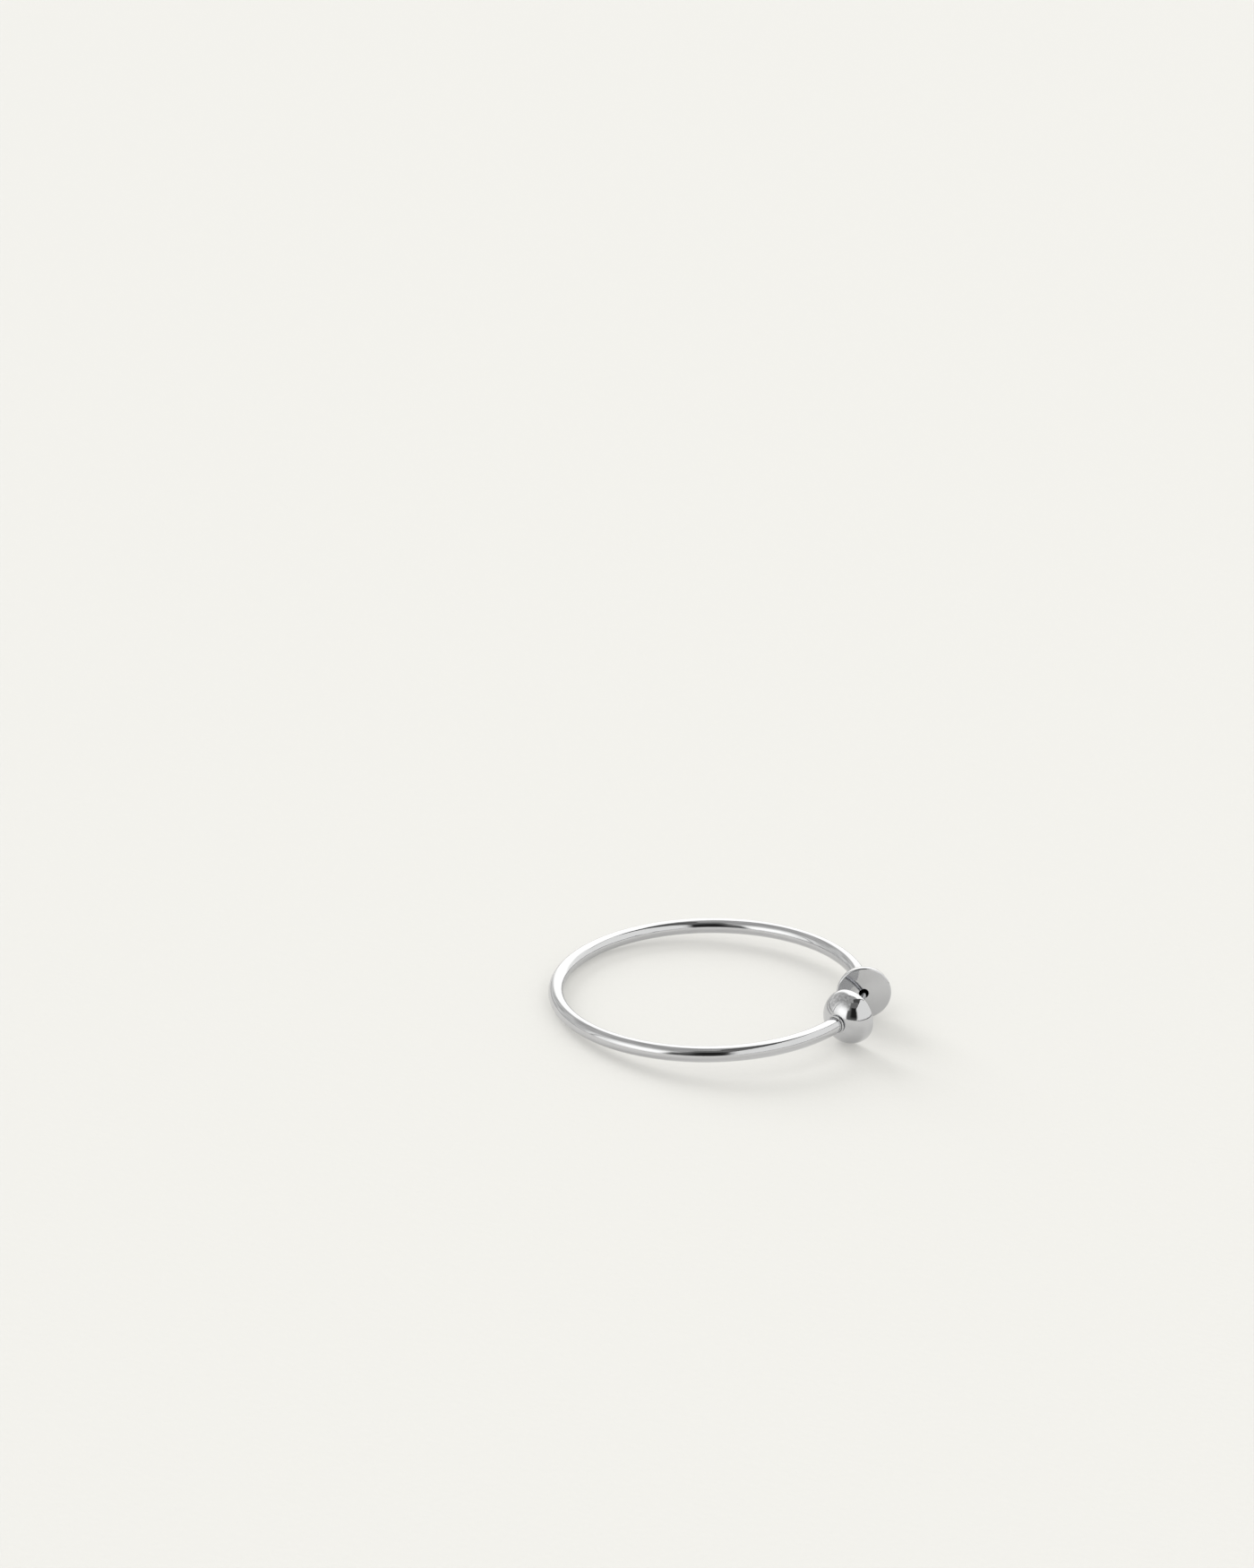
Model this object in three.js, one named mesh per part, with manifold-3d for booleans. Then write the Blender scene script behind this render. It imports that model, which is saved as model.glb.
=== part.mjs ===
// Hoop earring lying on its side: a bent tube, a flat-faced half ball on each end and a post across the gap.
// Lengths are in millimetres and +Z is up. The origin is on the surface below the middle of the earring.

import * as THREE from 'three';
import * as BufferGeometryUtils from 'three/addons/utils/BufferGeometryUtils.js';
import Module from 'manifold-3d';

// Hoop
const HOOP_RADIUS = 24.3; // from the hoop's centre to the middle of the tube
const TUBE_DIAMETER = 2.5;
const TUBE_WALL = 0.4;
const LOBE_GAP = 8.4; // between the middles of the two flat faces

// Half balls
const DOME_DIAMETER = 8.7;
const DOME_DEPTH = 3.7; // from the flat face to the small flat where the tube goes in
const DOME_EDGE = 0.3; // rounding round the flat face
const SEAT_DEPTH = 1.6; // how far the tube reaches into a half ball

// Collars
const COLLAR_LENGTH = 0.55;
const COLLAR_HEIGHT = 0.2; // how far a collar stands proud of the tube
const COLLAR_LEDGE = 0.1; // flat left round a collar on the half ball

// Ear post
const POST_DIAMETER = 0.8;
const POST_ROOT = 1.0; // length held in the front half ball
const POST_REACH = 1.8; // length inside the hole of the back half ball
const HOLE_DIAMETER = 1.5;
const HOLE_EDGE = 0.12; // chamfer round the mouth of the hole

// Fit
const CLEARANCE = 0.05; // between pieces that touch on the real earring

// Facets
const TUBE_SIDES = 20;
const BORE_SIDES = 10;
const TUBE_STEPS = 96;
const DOME_SIDES = 44;
const DOME_ARC_STEPS = 12;
const EDGE_STEPS = 3;
const COLLAR_SIDES = 32;
const COLLAR_ARC_STEPS = 6;
const POST_SIDES = 12;
const POST_STEPS = 14;

// Sizes that follow from the ones above
const tubeRadius = TUBE_DIAMETER / 2;
const boreRadius = tubeRadius - TUBE_WALL;
const domeRadius = DOME_DIAMETER / 2;
const postRadius = POST_DIAMETER / 2;
const holeRadius = HOLE_DIAMETER / 2;
const socketRadius = tubeRadius + CLEARANCE;
const socketFloor = DOME_DEPTH - SEAT_DEPTH - CLEARANCE; // depth of the socket's floor below the flat face
const collarRadius = tubeRadius + COLLAR_HEIGHT;
const poleRadius = collarRadius + COLLAR_LEDGE;

// The tube's arc ends at the outer end of each collar, and a straight stub goes on into the half ball.
const stubLength = COLLAR_LENGTH + CLEARANCE + SEAT_DEPTH;
const faceToArc = DOME_DEPTH + CLEARANCE + COLLAR_LENGTH;
const halfGapAngle = Math.asin(LOBE_GAP / 2 / Math.hypot(HOOP_RADIUS, faceToArc));
const endAngle = halfGapAngle + Math.atan2(faceToArc, HOOP_RADIUS);

// Middle of a flat face. Side is -1 for the front half ball and 1 for the back one.
const faceX = HOOP_RADIUS * Math.cos(endAngle) + faceToArc * Math.sin(endAngle);
const faceMiddle = (side) => new THREE.Vector3(faceX, side * LOBE_GAP / 2, 0);

// Direction in which a flat face looks.
const faceNormal = (side) => new THREE.Vector3(Math.sin(endAngle), -side * Math.cos(endAngle), 0);

// The tube's middle line: a stub, the long arc round the hoop and the other stub.
class HoopLine extends THREE.Curve {
  getPoint(t, target = new THREE.Vector3()) {
    const arcLength = 2 * (Math.PI - endAngle) * HOOP_RADIUS;
    const fromMiddle = (t - 0.5) * (arcLength + 2 * stubLength);
    const onArc = THREE.MathUtils.clamp(fromMiddle, -arcLength / 2, arcLength / 2);
    const angle = Math.PI - onArc / HOOP_RADIUS;
    const past = fromMiddle - onArc;
    const along = new THREE.Vector3(Math.sin(angle), -Math.cos(angle), 0);
    target.set(Math.cos(angle), Math.sin(angle), 0).multiplyScalar(HOOP_RADIUS);
    return target.addScaledVector(along, past);
  }
}

// The post's middle line: an arc about the hoop's centre through the middles of both flat faces.
class PostLine extends THREE.Curve {
  constructor(rootLength) {
    super();
    this.rootLength = rootLength;
  }

  getPoint(t, target = new THREE.Vector3()) {
    const radius = Math.hypot(faceX, LOBE_GAP / 2);
    const faceAngle = Math.atan2(LOBE_GAP / 2, faceX);
    const start = -faceAngle - this.rootLength / radius;
    const end = faceAngle + POST_REACH / radius;
    const angle = THREE.MathUtils.lerp(start, end, t);
    return target.set(Math.cos(angle), Math.sin(angle), 0).multiplyScalar(radius);
  }
}

// Regular polygon round the origin, as the points of a section.
function polygon(radius, sides) {
  const points = [];
  for (let i = 0; i < sides; i += 1) {
    const angle = 2 * Math.PI * i / sides;
    points.push(new THREE.Vector2(radius * Math.cos(angle), radius * Math.sin(angle)));
  }
  return points;
}

// Solid of one section along a line, with a bore if a bore radius is given.
function wire(line, radius, sides, steps, bore = 0) {
  const section = new THREE.Shape(polygon(radius, sides));
  if (bore > 0) section.holes.push(new THREE.Path(polygon(bore, BORE_SIDES)));
  return new THREE.ExtrudeGeometry(section, { steps, extrudePath: line });
}

// Points of an arc from one angle to another, flattened or stretched by its two radii.
function arc(centreX, centreY, radiusX, radiusY, from, to, steps) {
  const points = [];
  for (let i = 0; i <= steps; i += 1) {
    const angle = THREE.MathUtils.lerp(from, to, i / steps);
    const x = centreX + radiusX * Math.cos(angle);
    points.push(new THREE.Vector2(x, centreY + radiusY * Math.sin(angle)));
  }
  return points;
}

// Outline of a half ball from its socket to the edge of its flat face, which lies at height 0.
function domeOutline() {
  const poleAngle = Math.acos(poleRadius / domeRadius);
  const ballHeight = (DOME_DEPTH - DOME_EDGE) / Math.sin(poleAngle);
  return [
    new THREE.Vector2(socketRadius, -socketFloor),
    new THREE.Vector2(socketRadius, -DOME_DEPTH),
    ...arc(0, -DOME_EDGE, domeRadius, ballHeight, -poleAngle, 0, DOME_ARC_STEPS),
    ...arc(domeRadius - DOME_EDGE, -DOME_EDGE, DOME_EDGE, DOME_EDGE, 0, Math.PI / 2, EDGE_STEPS).slice(1),
  ];
}

// Half ball with a closed flat face.
function plainDome() {
  const onAxis = (height) => new THREE.Vector2(0, height);
  return new THREE.LatheGeometry([onAxis(-socketFloor), ...domeOutline(), onAxis(0)], DOME_SIDES);
}

// Half ball whose flat face has a chamfered hole that runs through to the socket.
function holedDome() {
  const points = [
    new THREE.Vector2(holeRadius, -socketFloor),
    ...domeOutline(),
    new THREE.Vector2(holeRadius + HOLE_EDGE, 0),
    new THREE.Vector2(holeRadius, -HOLE_EDGE),
    new THREE.Vector2(holeRadius, -socketFloor),
  ];
  return new THREE.LatheGeometry(points, DOME_SIDES);
}

// Collar with a rounded outside. Its middle is at the origin, on the axis of turning.
function collar() {
  const half = COLLAR_LENGTH / 2;
  const middle = tubeRadius + COLLAR_HEIGHT / 2;
  const points = [
    new THREE.Vector2(socketRadius, -half),
    ...arc(middle, 0, COLLAR_HEIGHT / 2, half, -Math.PI / 2, Math.PI / 2, COLLAR_ARC_STEPS),
    new THREE.Vector2(socketRadius, half),
    new THREE.Vector2(socketRadius, -half),
  ];
  return new THREE.LatheGeometry(points, COLLAR_SIDES);
}

// Turn a solid's axis from +Y to the way a flat face looks, and set it back from that face.
function place(geometry, side, depth) {
  const turn = new THREE.Quaternion().setFromUnitVectors(new THREE.Vector3(0, 1, 0), faceNormal(side));
  const middle = faceMiddle(side).addScaledVector(faceNormal(side), -depth);
  return geometry.applyQuaternion(turn).translate(middle.x, middle.y, middle.z);
}

const wasm = await Module();
wasm.setup();

// Solid with merged corners, ready for cutting.
function solid(geometry) {
  const bare = geometry.clone();
  bare.deleteAttribute('normal');
  bare.deleteAttribute('uv');
  const merged = BufferGeometryUtils.mergeVertices(bare);
  return new wasm.Manifold(new wasm.Mesh({
    numProp: 3,
    vertProperties: new Float32Array(merged.attributes.position.array),
    triVerts: new Uint32Array(merged.index.array),
  }));
}

// First geometry with the second cut out of it.
function cut(body, tool) {
  const mesh = solid(body).subtract(solid(tool)).getMesh();
  const geometry = new THREE.BufferGeometry();
  geometry.setAttribute('position', new THREE.BufferAttribute(mesh.vertProperties, 3));
  geometry.setIndex(new THREE.BufferAttribute(mesh.triVerts, 1));
  geometry.computeVertexNormals();
  return geometry;
}

const silver = (roughness) => new THREE.MeshStandardMaterial({ color: 0xdcdbd8, metalness: 1, roughness });

function named(name, geometry, material) {
  const mesh = new THREE.Mesh(geometry, material);
  mesh.name = name;
  return mesh;
}

function hoopTube() {
  const geometry = wire(new HoopLine(), tubeRadius, TUBE_SIDES, TUBE_STEPS, boreRadius);
  return named('hoop_tube', geometry, silver(0.12));
}

function frontDome() {
  const rootHole = wire(new PostLine(POST_ROOT + CLEARANCE), postRadius + CLEARANCE, POST_SIDES, POST_STEPS);
  return named('front_dome', cut(place(plainDome(), -1, 0), rootHole), silver(0.08));
}

function backDome() {
  return named('back_dome', place(holedDome(), 1, 0), silver(0.08));
}

function endCollar(name, side) {
  const depth = DOME_DEPTH + CLEARANCE + COLLAR_LENGTH / 2;
  return named(name, place(collar(), side, depth), silver(0.12));
}

function earPost() {
  return named('ear_post', wire(new PostLine(POST_ROOT), postRadius, POST_SIDES, POST_STEPS), silver(0.15));
}

// The earring in the plane of its hoop, tipped so that both half balls and the far side of the tube rest.
function tippedHoop() {
  const hoop = new THREE.Group();
  hoop.add(hoopTube(), frontDome(), backDome());
  hoop.add(endCollar('front_collar', -1), endCollar('back_collar', 1), earPost());
  hoop.rotation.y = -Math.asin((domeRadius - tubeRadius) / (faceX + HOOP_RADIUS));
  return hoop;
}

// The earring on the surface, with the middle of its box over the origin.
function earring() {
  const group = new THREE.Group();
  group.add(tippedHoop());
  const box = new THREE.Box3().setFromObject(group, true);
  const middle = box.getCenter(new THREE.Vector3());
  group.position.set(-middle.x, -middle.y, -box.min.z);
  return group;
}

export default earring();
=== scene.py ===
# Polished hoop earring lying on a pale surface. Lengths are in metres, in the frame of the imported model.

import math
from collections import namedtuple

import bpy
from mathutils import Matrix, Vector


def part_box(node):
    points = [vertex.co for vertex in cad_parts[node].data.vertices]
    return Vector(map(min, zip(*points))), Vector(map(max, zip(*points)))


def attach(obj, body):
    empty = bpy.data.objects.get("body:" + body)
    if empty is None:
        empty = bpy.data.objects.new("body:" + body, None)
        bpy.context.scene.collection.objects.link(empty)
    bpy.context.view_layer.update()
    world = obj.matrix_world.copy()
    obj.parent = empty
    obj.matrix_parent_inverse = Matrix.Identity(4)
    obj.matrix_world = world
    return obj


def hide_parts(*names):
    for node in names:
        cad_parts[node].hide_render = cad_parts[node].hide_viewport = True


# Hoop
HOOP_RADIUS = 0.0243
TUBE_RADIUS = 0.00125
BORE_RADIUS = 0.00085
LOBE_GAP = 0.0084

# Half balls
DOME_RADIUS = 0.00435
DOME_DEPTH = 0.0037
DOME_EDGE = 0.00022
SEAT_DEPTH = 0.0016

# Collars
COLLAR_LENGTH = 0.00055
COLLAR_HEIGHT = 0.0002
COLLAR_LEDGE = 0.0001
BEAD_LENGTH = 0.00036
SLEEVE_HEIGHT = 0.00002

# Ear post
POST_RADIUS = 0.0004
POST_ROOT = 0.001
POST_REACH = 0.0018
HOLE_RADIUS = 0.00075
HOLE_EDGE = 0.00012
SOLDER_HEIGHT = 0.0002
SOLDER_LENGTH = 0.0003
TIP_INSET = 0.98

CLEARANCE = 0.00005

# Mesh fineness
TUBE_SIDES = 56
TUBE_STEPS = 480
DOME_SIDES = 160
BALL_STEPS = 56
EDGE_STEPS = 10
COLLAR_SIDES = 96
COLLAR_STEPS = 16
POST_SIDES = 32
POST_STEPS = 240
CORNER_REACH = 0.00002
CORNER_ROOM = 3 * CORNER_REACH
CORNER_ANGLE = math.radians(25)
UV_NAME = "along"

# Camera
CAMERA_AZIMUTH = math.radians(17.19)
CAMERA_ELEVATION = math.radians(22.37)
CAMERA_ROLL = math.radians(2.42)
CAMERA_DISTANCE = 0.61
CAMERA_LENS = 75.9
CAMERA_CLIP = 0.01
AIM = Vector((-0.04174, 0.08187, 0.0))

# Surface that the earring lies on
FLOOR_SIZE = 40.0
FLOOR_DARK = (0.3165, 0.3135, 0.3015)
FLOOR_LIGHT = (0.3195, 0.3165, 0.3045)
FLOOR_ROUGHNESS = 0.95
FLOOR_GLOSS = 0.05
FLOOR_GRAIN = 1100
FLOOR_DETAIL = 4.0
FLOOR_RELIEF = 0.00003

# Silver: colours in dull and bright patches, roughness, heights of the polishing waves and of the fine lines,
# and how the lines are stretched along and across the metal.
Silver = namedtuple("Silver", "dark light roughness wave_height line_height line_stretch")
TUBE_SILVER = Silver((0.6, 0.605, 0.622), (0.64, 0.645, 0.663), (0.06, 0.11), 4e-5, 4e-7, (0.3, 12, 1))
DOME_SILVER = Silver((0.585, 0.59, 0.607), (0.625, 0.63, 0.648), (0.03, 0.08), 4e-5, 3e-6, (2, 2, 1))
POST_SILVER = Silver((0.53, 0.535, 0.55), (0.585, 0.59, 0.607), (0.08, 0.16), 1e-6, 2e-7, (0.3, 12, 1))
WAVE_SCALE = 230
WAVE_DETAIL = 2.5
LINE_SCALE = 1000
LINE_DETAIL = 2.0
LINE_SHARE = 0.5
PATCH_SCALE = 450
MOTTLE_RANGE = (0.45, 1.05)

# Rough metal painted near black as shade: unpolished in the bore, and in the narrow seams beside the collars'
# beads
BORE_SHADE_COLOURS = ((0.03, 0.03, 0.03), (0.09, 0.088, 0.085))
SEAM_SHADE_COLOURS = ((0.1, 0.1, 0.1), (0.2, 0.198, 0.195))
SHADE_ROUGHNESS = (0.45, 0.7)
SHADE_GRAIN_SCALE = 4000

# Level of detail of a noise, and the range that most of its values lie in
NOISE_DETAIL = 3.0
NOISE_RANGE = (0.3, 0.7)

# Soft lamps that light the floor and throw the shadows. They don't show in the metal. Angles are in degrees.
LAMPS = (
    {"name": "key", "azimuth": -144, "elevation": 24, "width": 32, "strength": 3.2, "shadow": True},
    {"name": "sky", "azimuth": -160, "elevation": 84, "width": 120, "strength": 1.2, "shadow": True},
    {"name": "fill", "azimuth": -160, "elevation": 80, "width": 40, "strength": 3.8, "shadow": False},
)

# Studio. Azimuths are in degrees, 0 towards the camera and 90 to its right. Each panel is a rectangle that
# stands across its azimuth. Its edges are in degrees from the azimuth and from the horizon, and soft is the
# width of their blur. Later panels hide earlier ones. Heights are those of a direction's end, 0 to 1.
ROOM_LOW = 0.77
ROOM_HIGH = 0.455
ROOM_HEIGHTS = (0.2, 1.0)
ROOM_CLUTTER = 0.3
CLUTTER_SCALE = 7
ROOM_TINT = (1, 0.995, 0.965)
BACKDROP = (0.888, 0.88, 0.838)
Panel = namedtuple("Panel", "azimuth left right low high soft light")
PANELS = {
    "backdrop": Panel(152, -48, 46, -2, 70, 0.25, 1.65),
    "side_wall": Panel(120, -24, 20, -2, 42, 0.12, 1.15),
    "seam": Panel(-110, -50, 30, -2, 4, 0.02, 0.42),
    "soft_box": Panel(-64, -20, 42, 0, 40, 0.6, 1.85),
    "box_frame": Panel(-88, -1.5, 1.5, -2, 45, 0.01, 0.48),
    "gap": Panel(75, -70, 50, 50, 88, 0.1, 0.1),
    "ceiling": Panel(15, -40, 45, 34, 75, 0.15, 0.2),
    "right_wall": Panel(75, -64, 45, -2, 64, 0.04, 1.08),
    "table_edge": Panel(75, -68, 62, -2, 4, 0.01, 0.33),
    "dark_room": Panel(-10, -22, 22, -2, 36, 0.08, 0.15),
    "camera": Panel(-1, -15, 15, 8, 50, 0.12, 0.02),
}
# A direction nearly square to a panel's azimuth never meets the panel.
PANEL_NEAR = 0.001

# Sizes that follow from the ones above
FACE_TO_ARC = DOME_DEPTH + CLEARANCE + COLLAR_LENGTH
STUB_LENGTH = COLLAR_LENGTH + CLEARANCE + SEAT_DEPTH
HALF_GAP_ANGLE = math.asin(LOBE_GAP / 2 / math.hypot(HOOP_RADIUS, FACE_TO_ARC))
END_ANGLE = HALF_GAP_ANGLE + math.atan2(FACE_TO_ARC, HOOP_RADIUS)
FACE_X = HOOP_RADIUS * math.cos(END_ANGLE) + FACE_TO_ARC * math.sin(END_ANGLE)
TILT = math.asin((DOME_RADIUS - TUBE_RADIUS) / (FACE_X + HOOP_RADIUS))
SOCKET_RADIUS = TUBE_RADIUS + CLEARANCE
SOCKET_FLOOR = DOME_DEPTH - SEAT_DEPTH - CLEARANCE
COLLAR_RADIUS = TUBE_RADIUS + COLLAR_HEIGHT
POLE_RADIUS = COLLAR_RADIUS + COLLAR_LEDGE
ARC_LENGTH = 2 * (math.pi - END_ANGLE) * HOOP_RADIUS
TUBE_LENGTH = ARC_LENGTH + 2 * STUB_LENGTH
POST_ARC_RADIUS = math.hypot(FACE_X, LOBE_GAP / 2)
POST_FACE_ANGLE = math.atan2(LOBE_GAP / 2, FACE_X)
POST_LENGTH = 2 * POST_FACE_ANGLE * POST_ARC_RADIUS + POST_ROOT + POST_REACH

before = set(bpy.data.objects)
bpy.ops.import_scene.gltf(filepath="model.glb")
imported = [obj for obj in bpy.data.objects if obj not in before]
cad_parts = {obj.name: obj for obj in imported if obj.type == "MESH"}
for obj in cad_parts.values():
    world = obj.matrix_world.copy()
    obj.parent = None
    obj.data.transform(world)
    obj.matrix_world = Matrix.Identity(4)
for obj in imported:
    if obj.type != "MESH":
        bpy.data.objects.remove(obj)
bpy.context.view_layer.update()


def hoop_placement():
    """Turn and shift from the plane of the hoop to the frame, from the tube's box."""
    low, _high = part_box("hoop_tube")
    middle_x = low.x + HOOP_RADIUS * math.cos(TILT) + TUBE_RADIUS
    middle_z = low.z + HOOP_RADIUS * math.sin(TILT) + TUBE_RADIUS
    return Matrix.Translation((middle_x, 0, middle_z)) @ Matrix.Rotation(-TILT, 4, "Y")


PLACEMENT = hoop_placement()


def face_normal(side):
    """Direction in which a flat face looks. Side is -1 at the front and 1 at the back."""
    return Vector((math.sin(END_ANGLE), -side * math.cos(END_ANGLE), 0))


def face_middle(side):
    return Vector((FACE_X, side * LOBE_GAP / 2, 0))


def add_mesh(name, points, faces, uvs):
    """Smooth object from points in the plane of the hoop. The map coordinates are lengths in metres."""
    mesh = bpy.data.meshes.new(name)
    mesh.from_pydata([PLACEMENT @ point for point in points], [], faces)
    mesh.shade_smooth()
    layer = mesh.uv_layers.new(name=UV_NAME)
    for loop in mesh.loops:
        layer.data[loop.index].uv = uvs[loop.vertex_index]
    mesh.validate()
    obj = bpy.data.objects.new(name, mesh)
    bpy.context.scene.collection.objects.link(obj)
    return obj


def arc(centre_x, centre_y, radius_x, radius_y, start, end, steps):
    """Points of an arc, both ends included."""
    points = []
    for i in range(steps + 1):
        angle = start + (end - start) * i / steps
        points.append(Vector((centre_x + radius_x * math.cos(angle), centre_y + radius_y * math.sin(angle))))
    return points


def crisp(outline, closed):
    """The outline with points added close to each sharp corner, so that smooth shading keeps it."""
    points = []
    for i, here in enumerate(outline):
        if not closed and i in (0, len(outline) - 1):
            points.append(here)
            continue
        before = outline[i - 1] - here
        after = outline[(i + 1) % len(outline)] - here
        if math.pi - before.angle(after) < CORNER_ANGLE:
            points.append(here)
            continue
        if before.length > CORNER_ROOM:
            points.append(here + CORNER_REACH * before.normalized())
        points.append(here)
        if after.length > CORNER_ROOM:
            points.append(here + CORNER_REACH * after.normalized())
    return points


def lathe(outline, sides, side, depth, closed):
    """Points, faces and map coordinates of an outline turned about a half ball's axis."""
    axis = face_normal(side)
    across = Vector((0, 0, 1))
    other = axis.cross(across)
    middle = face_middle(side) - depth * axis
    points, uvs, rings = [], [], []
    travelled = 0.0
    outline = crisp(outline, closed)
    for k, (radius, height) in enumerate(outline):
        if k:
            travelled += (outline[k] - outline[k - 1]).length
        count = 1 if radius == 0 else sides
        rings.append(list(range(len(points), len(points) + count)))
        for i in range(count):
            angle = 2 * math.pi * i / sides
            out = math.cos(angle) * across + math.sin(angle) * other
            points.append(middle + height * axis + radius * out)
            uvs.append((travelled, angle * DOME_RADIUS))
    faces = []
    last = len(rings) if closed else len(rings) - 1
    for k in range(last):
        low, high = rings[k], rings[(k + 1) % len(rings)]
        for i in range(sides):
            j = (i + 1) % sides
            if len(low) == 1:
                faces.append((low[0], high[j], high[i]))
            elif len(high) == 1:
                faces.append((low[i], low[j], high[0]))
            else:
                faces.append((low[i], low[j], high[j], high[i]))
    return points, faces, uvs


def skin(line, radius_at, sides, steps, length):
    """Points and map coordinates of a round skin along a line in the plane of the hoop."""
    points, uvs = [], []
    up = Vector((0, 0, 1))
    for k in range(steps + 1):
        share = k / steps
        middle, along = line(share)
        out = along.cross(up)
        for i in range(sides):
            angle = 2 * math.pi * i / sides
            points.append(middle + radius_at(share) * (math.cos(angle) * out + math.sin(angle) * up))
            uvs.append((share * length, angle * radius_at(share)))
    return points, uvs


def skin_faces(sides, steps, start):
    faces = []
    for k in range(steps):
        for i in range(sides):
            j = (i + 1) % sides
            a, b = start + k * sides, start + (k + 1) * sides
            faces.append((b + i, b + j, a + j, a + i))
    return faces


def hoop_line(share):
    """Point and direction of the tube's middle line: a stub, the long arc and the other stub."""
    from_middle = (share - 0.5) * TUBE_LENGTH
    on_arc = max(-ARC_LENGTH / 2, min(ARC_LENGTH / 2, from_middle))
    angle = math.pi - on_arc / HOOP_RADIUS
    along = Vector((math.sin(angle), -math.cos(angle), 0))
    middle = HOOP_RADIUS * Vector((math.cos(angle), math.sin(angle), 0))
    return middle + (from_middle - on_arc) * along, along


def post_line(share):
    """Point and direction of the post's middle line, an arc about the hoop's centre."""
    angle = -POST_FACE_ANGLE + (share * POST_LENGTH - POST_ROOT) / POST_ARC_RADIUS
    middle = POST_ARC_RADIUS * Vector((math.cos(angle), math.sin(angle), 0))
    return middle, Vector((-math.sin(angle), math.cos(angle), 0))


def post_radius(share):
    """Radius of the post, with a fillet of solder where it leaves the front half ball and a rounded tip."""
    past_face = share * POST_LENGTH - POST_ROOT
    fillet = max(0.0, 1 - abs(past_face) / SOLDER_LENGTH)
    to_tip = POST_LENGTH * (1 - share)
    inset = min(TIP_INSET, max(0.0, 1 - to_tip / POST_RADIUS))
    return POST_RADIUS * math.sqrt(1 - inset * inset) + SOLDER_HEIGHT * fillet * fillet


def dome_outline():
    """Outline of a half ball from its socket's floor to the edge of its flat face, at height 0."""
    pole_angle = math.acos(POLE_RADIUS / DOME_RADIUS)
    ball_height = (DOME_DEPTH - DOME_EDGE) / math.sin(pole_angle)
    ball = arc(0, -DOME_EDGE, DOME_RADIUS, ball_height, -pole_angle, 0, BALL_STEPS)
    edge = arc(DOME_RADIUS - DOME_EDGE, -DOME_EDGE, DOME_EDGE, DOME_EDGE, 0, math.pi / 2, EDGE_STEPS)
    rim = Vector((DOME_RADIUS - DOME_EDGE - CORNER_REACH, 0))
    socket = [Vector((SOCKET_RADIUS, -SOCKET_FLOOR)), Vector((SOCKET_RADIUS, -DOME_DEPTH))]
    return [*socket, *ball, *edge[1:], rim]


def new_node(tree, kind, **settings):
    node = tree.nodes.new(kind)
    for key, value in settings.items():
        setattr(node, key, value)
    return node


def math_node(tree, operation, *values):
    """Math node whose inputs are numbers or outputs of other nodes. Returns its output."""
    node = new_node(tree, "ShaderNodeMath", operation=operation)
    for socket, value in zip(node.inputs, values):
        if isinstance(value, bpy.types.NodeSocket):
            tree.links.new(value, socket)
        else:
            socket.default_value = value
    return node.outputs[0]


def ramp(tree, value, from_low, from_high, to_low, to_high, smooth=False):
    """Map Range node on a value. Returns its output."""
    node = new_node(tree, "ShaderNodeMapRange")
    node.interpolation_type = "SMOOTHSTEP" if smooth else "LINEAR"
    tree.links.new(value, node.inputs["Value"])
    numbers = {"From Min": from_low, "From Max": from_high, "To Min": to_low, "To Max": to_high}
    for name, number in numbers.items():
        node.inputs[name].default_value = number
    return node.outputs["Result"]


def noise(tree, vector, scale, stretch=(1, 1, 1), detail=NOISE_DETAIL):
    """Noise of a number of features per metre, stretched along the axes of the vector. Returns its output."""
    mapping = new_node(tree, "ShaderNodeMapping")
    mapping.inputs["Scale"].default_value = stretch
    tree.links.new(vector, mapping.inputs["Vector"])
    texture = new_node(tree, "ShaderNodeTexNoise")
    texture.inputs["Scale"].default_value = scale
    texture.inputs["Detail"].default_value = detail
    tree.links.new(mapping.outputs["Vector"], texture.inputs["Vector"])
    return texture.outputs["Fac"]


def bump(tree, height, distance, normal=None):
    """Bump node of a height in metres. Returns its output."""
    node = new_node(tree, "ShaderNodeBump")
    node.inputs["Distance"].default_value = distance
    tree.links.new(height, node.inputs["Height"])
    if normal:
        tree.links.new(normal, node.inputs["Normal"])
    return node.outputs["Normal"]


def new_material(name):
    material = bpy.data.materials.new(name)
    material.use_nodes = True
    return material, material.node_tree, material.node_tree.nodes["Principled BSDF"]


def tinted(tree, shader, value, dark, light):
    """Colour of the shader between two tints, by a value from 0 to 1."""
    mix = new_node(tree, "ShaderNodeMix", data_type="RGBA")
    mix.inputs["A"].default_value = (*dark, 1)
    mix.inputs["B"].default_value = (*light, 1)
    tree.links.new(value, mix.inputs["Factor"])
    tree.links.new(mix.outputs["Result"], shader.inputs["Base Color"])


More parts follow.
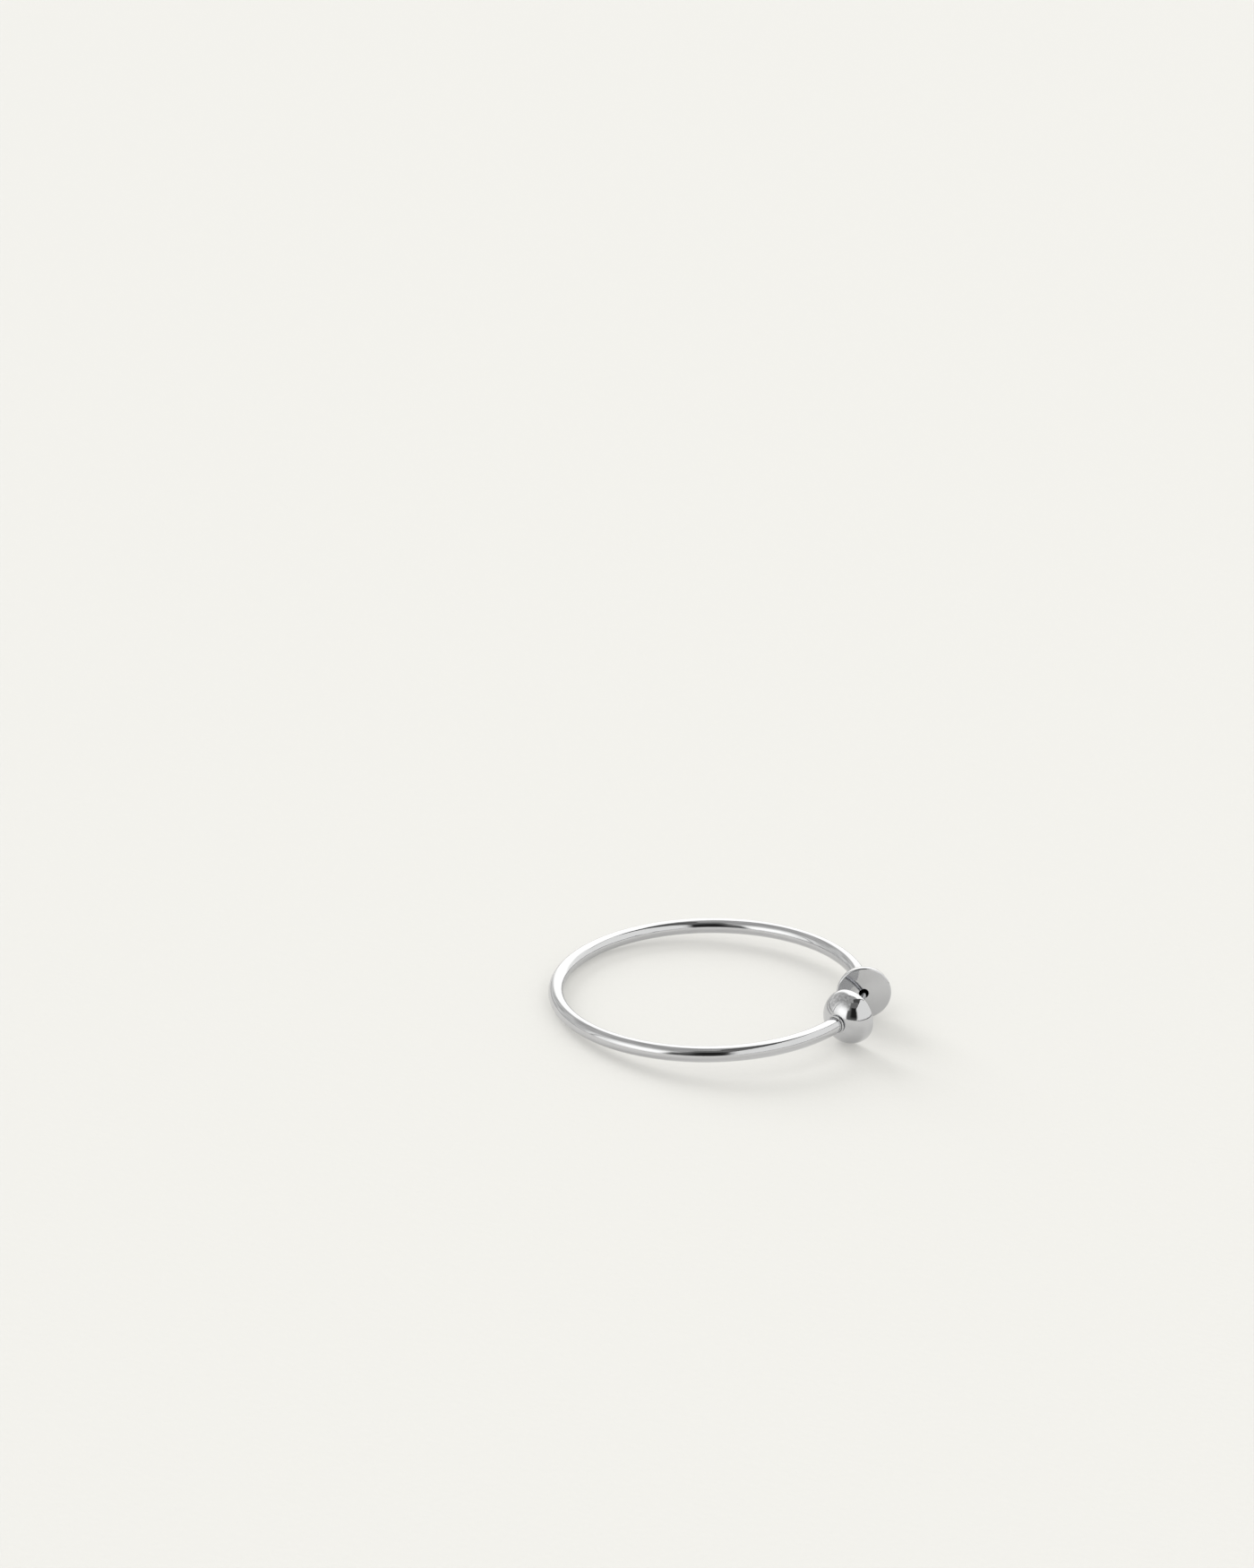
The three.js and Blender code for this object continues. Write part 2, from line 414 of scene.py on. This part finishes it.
def silver(name, kind):
    """Polished silver with soft waves left by hand polishing, fine lines, and slightly duller patches."""
    material, tree, shader = new_material(name)
    shader.inputs["Metallic"].default_value = 1
    place = new_node(tree, "ShaderNodeTexCoord").outputs["Object"]
    along = new_node(tree, "ShaderNodeUVMap", uv_map=UV_NAME).outputs["UV"]
    patches = noise(tree, place, PATCH_SCALE)
    tinted(tree, shader, patches, kind.dark, kind.light)
    lines = noise(tree, along, LINE_SCALE, kind.line_stretch, LINE_DETAIL)
    mottled = math_node(tree, "MULTIPLY_ADD", lines, LINE_SHARE, patches)
    tree.links.new(ramp(tree, mottled, *MOTTLE_RANGE, *kind.roughness), shader.inputs["Roughness"])
    waves = bump(tree, noise(tree, place, WAVE_SCALE, detail=WAVE_DETAIL), kind.wave_height)
    tree.links.new(bump(tree, lines, kind.line_height, waves), shader.inputs["Normal"])
    return material


def shade_painted_metal(name, dark, light):
    """Rough metal painted dark as shade in a hollow, with a fine grain."""
    material, tree, shader = new_material(name)
    shader.inputs["Metallic"].default_value = 1
    place = new_node(tree, "ShaderNodeTexCoord").outputs["Object"]
    grain = noise(tree, place, SHADE_GRAIN_SCALE)
    tinted(tree, shader, grain, dark, light)
    tree.links.new(ramp(tree, grain, *NOISE_RANGE, *SHADE_ROUGHNESS), shader.inputs["Roughness"])
    return material


def dress(obj, node, slot, *materials):
    for material in materials:
        obj.data.materials.append(material)
    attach(obj, "root")
    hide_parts(node)


def paint(obj, side, low, high, radius):
    """Second material, the painted shade, on the faces near a half ball's axis, between two heights over its
    flat face.
    """
    centre = PLACEMENT @ face_middle(side)
    normal = PLACEMENT.to_3x3() @ face_normal(side)
    for polygon in obj.data.polygons:
        offset = polygon.center - centre
        height = offset.dot(normal)
        if low < height < high and (offset - height * normal).length < radius:
            polygon.material_index = 1


def make_tube(material):
    points, uvs = skin(hoop_line, lambda share: TUBE_RADIUS, TUBE_SIDES, TUBE_STEPS, TUBE_LENGTH)
    inner_points, inner_uvs = skin(hoop_line, lambda share: BORE_RADIUS, TUBE_SIDES, TUBE_STEPS, TUBE_LENGTH)
    inner = len(points)
    faces = skin_faces(TUBE_SIDES, TUBE_STEPS, 0)
    faces += [face[::-1] for face in skin_faces(TUBE_SIDES, TUBE_STEPS, inner)]
    final = TUBE_SIDES * TUBE_STEPS
    for i in range(TUBE_SIDES):
        j = (i + 1) % TUBE_SIDES
        faces.append((i, j, inner + j, inner + i))
        faces.append((inner + final + i, inner + final + j, final + j, final + i))
    tube = add_mesh("tube_of_hoop", points + inner_points, faces, uvs + inner_uvs)
    dress(tube, "hoop_tube", "tube_silver", material)


def make_domes(material, bore):
    face_centre = Vector((0, 0))
    plain = [Vector((0, -SOCKET_FLOOR)), *dome_outline(), face_centre]
    front = add_mesh("half_ball_front", *lathe(plain, DOME_SIDES, -1, 0, False))
    dress(front, "front_dome", "dome_silver", material)
    mouth = arc(HOLE_RADIUS + HOLE_EDGE, -HOLE_EDGE, HOLE_EDGE, HOLE_EDGE, math.pi / 2, math.pi, EDGE_STEPS)
    lip = Vector((HOLE_RADIUS + HOLE_EDGE + CORNER_REACH, 0))
    holed = [Vector((HOLE_RADIUS, -SOCKET_FLOOR)), *dome_outline(), lip, *mouth]
    back = add_mesh("half_ball_back", *lathe(holed, DOME_SIDES, 1, 0, True))
    dress(back, "back_dome", "dome_silver", material, bore)
    # Painted shade on the faces of the bore.
    paint(back, 1, -DOME_DEPTH, -HOLE_EDGE, HOLE_RADIUS + CORNER_REACH)


def make_collars(material, shade):
    """A bead between two narrow seams, which are painted dark as shade."""
    half = COLLAR_LENGTH / 2 + CLEARANCE
    inside = TUBE_RADIUS - CLEARANCE
    sleeve = TUBE_RADIUS + SLEEVE_HEIGHT
    bead = arc(sleeve, 0, COLLAR_RADIUS - sleeve, BEAD_LENGTH / 2, -math.pi / 2, math.pi / 2, COLLAR_STEPS)
    start = [Vector((inside, -half)), Vector((sleeve, -half))]
    outline = [*start, *bead, Vector((sleeve, half)), Vector((inside, half))]
    depth = DOME_DEPTH + half
    for node, side in (("front_collar", -1), ("back_collar", 1)):
        ring = add_mesh(node + "_ring", *lathe(outline, COLLAR_SIDES, side, depth, True))
        dress(ring, node, "tube_silver", material, shade)
        # Painted shade on the faces of the seams.
        paint(ring, side, -depth - half, half - depth, sleeve + SLEEVE_HEIGHT)


def make_post(material):
    points, uvs = skin(post_line, post_radius, POST_SIDES, POST_STEPS, POST_LENGTH)
    faces = skin_faces(POST_SIDES, POST_STEPS, 0)
    tip = POST_SIDES * POST_STEPS
    faces.append(tuple(range(POST_SIDES)))
    faces.append(tuple(reversed(range(tip, tip + POST_SIDES))))
    post = add_mesh("post_wire", points, faces, uvs)
    dress(post, "ear_post", "post_silver", material)


def make_camera():
    data = bpy.data.cameras.new("camera")
    data.lens = CAMERA_LENS
    data.clip_start = CAMERA_CLIP
    camera = bpy.data.objects.new("camera", data)
    turn = Matrix.Rotation(CAMERA_AZIMUTH, 4, "Z") @ Matrix.Rotation(math.pi / 2 - CAMERA_ELEVATION, 4, "X")
    back = turn @ Vector((0, 0, 1))
    roll = Matrix.Rotation(CAMERA_ROLL, 4, "Z")
    camera.matrix_world = Matrix.Translation(AIM + CAMERA_DISTANCE * back) @ turn @ roll
    bpy.context.scene.collection.objects.link(camera)
    bpy.context.scene.camera = camera


def make_floor():
    """Pale smooth board with a faint grain."""
    half = FLOOR_SIZE / 2
    mesh = bpy.data.meshes.new("floor")
    corners = [(-half, -half, 0), (half, -half, 0), (half, half, 0), (-half, half, 0)]
    mesh.from_pydata(corners, [], [(0, 1, 2, 3)])
    floor = bpy.data.objects.new("floor", mesh)
    bpy.context.scene.collection.objects.link(floor)
    material, tree, shader = new_material("pale_board")
    place = new_node(tree, "ShaderNodeTexCoord").outputs["Object"]
    shader.inputs["Roughness"].default_value = FLOOR_ROUGHNESS
    shader.inputs["Specular IOR Level"].default_value = FLOOR_GLOSS
    grain = noise(tree, place, FLOOR_GRAIN, detail=FLOOR_DETAIL)
    tinted(tree, shader, grain, FLOOR_DARK, FLOOR_LIGHT)
    tree.links.new(bump(tree, grain, FLOOR_RELIEF), shader.inputs["Normal"])
    floor.data.materials.append(material)


def make_lamps():
    for lamp in LAMPS:
        data = bpy.data.lights.new(lamp["name"], "SUN")
        data.energy = lamp["strength"]
        data.angle = math.radians(lamp["width"])
        data.use_shadow = lamp["shadow"]
        obj = bpy.data.objects.new(lamp["name"], data)
        turn = CAMERA_AZIMUTH + math.radians(lamp["azimuth"])
        obj.rotation_euler = (math.radians(90 - lamp["elevation"]), 0, turn)
        obj.visible_glossy = False
        bpy.context.scene.collection.objects.link(obj)


def panel_mask(tree, direction, panel):
    """How much of a panel lies in a direction, from 0 to 1."""
    turn = math.pi - CAMERA_AZIMUTH - math.radians(panel.azimuth)
    rotate = new_node(tree, "ShaderNodeVectorRotate", rotation_type="Z_AXIS")
    rotate.inputs["Angle"].default_value = turn
    tree.links.new(direction, rotate.inputs["Vector"])
    axes = new_node(tree, "ShaderNodeSeparateXYZ")
    tree.links.new(rotate.outputs["Vector"], axes.inputs[0])
    ahead = math_node(tree, "MAXIMUM", axes.outputs["Y"], PANEL_NEAR)
    sideways = math_node(tree, "DIVIDE", math_node(tree, "MULTIPLY", axes.outputs["X"], -1.0), ahead)
    upwards = math_node(tree, "DIVIDE", axes.outputs["Z"], ahead)
    mask = math_node(tree, "GREATER_THAN", axes.outputs["Y"], PANEL_NEAR)
    for value, low, high in ((sideways, panel.left, panel.right), (upwards, panel.low, panel.high)):
        start = math.tan(math.radians(low))
        end = math.tan(math.radians(high))
        above = ramp(tree, value, start - panel.soft, start + panel.soft, 0, 1, True)
        below = ramp(tree, value, end - panel.soft, end + panel.soft, 1, 0, True)
        mask = math_node(tree, "MULTIPLY", mask, math_node(tree, "MULTIPLY", above, below))
    return mask


def make_studio():
    """World light: a grey room with light and dark panels. The camera sees a plain backdrop instead."""
    world = bpy.data.worlds.new("studio")
    world.use_nodes = True
    tree = world.node_tree
    light = tree.nodes["Background"]
    direction = new_node(tree, "ShaderNodeTexCoord").outputs["Generated"]
    axes = new_node(tree, "ShaderNodeSeparateXYZ")
    tree.links.new(direction, axes.inputs[0])
    shapes = noise(tree, direction, CLUTTER_SCALE)
    clutter = ramp(tree, shapes, *NOISE_RANGE, 1 - ROOM_CLUTTER, 1 + ROOM_CLUTTER)
    level = ramp(tree, axes.outputs["Z"], *ROOM_HEIGHTS, ROOM_LOW, ROOM_HIGH)
    level = math_node(tree, "MULTIPLY", level, clutter)
    for panel in PANELS.values():
        mix = new_node(tree, "ShaderNodeMix", data_type="FLOAT")
        tree.links.new(panel_mask(tree, direction, panel), mix.inputs["Factor"])
        tree.links.new(level, mix.inputs["A"])
        mix.inputs["B"].default_value = panel.light
        level = mix.outputs["Result"]
    light.inputs["Color"].default_value = (*ROOM_TINT, 1)
    tree.links.new(level, light.inputs["Strength"])
    plain = new_node(tree, "ShaderNodeBackground")
    plain.inputs["Color"].default_value = (*BACKDROP, 1)
    choose = new_node(tree, "ShaderNodeMixShader")
    tree.links.new(new_node(tree, "ShaderNodeLightPath").outputs["Is Camera Ray"], choose.inputs["Fac"])
    tree.links.new(light.outputs[0], choose.inputs[1])
    tree.links.new(plain.outputs[0], choose.inputs[2])
    tree.links.new(choose.outputs[0], tree.nodes["World Output"].inputs["Surface"])
    bpy.context.scene.world = world
    bpy.context.scene.view_settings.view_transform = "Standard"


make_camera()
tube_silver = silver("tube_silver", TUBE_SILVER)
make_tube(tube_silver)
# The bore's metal is unpolished and painted near black as shade.
make_domes(silver("dome_silver", DOME_SILVER), shade_painted_metal("bore_painted_shade", *BORE_SHADE_COLOURS))
# The seams' metal is painted dark as shade.
make_collars(tube_silver, shade_painted_metal("seam_painted_shade", *SEAM_SHADE_COLOURS))
make_post(silver("post_silver", POST_SILVER))
make_floor()
make_lamps()
make_studio()
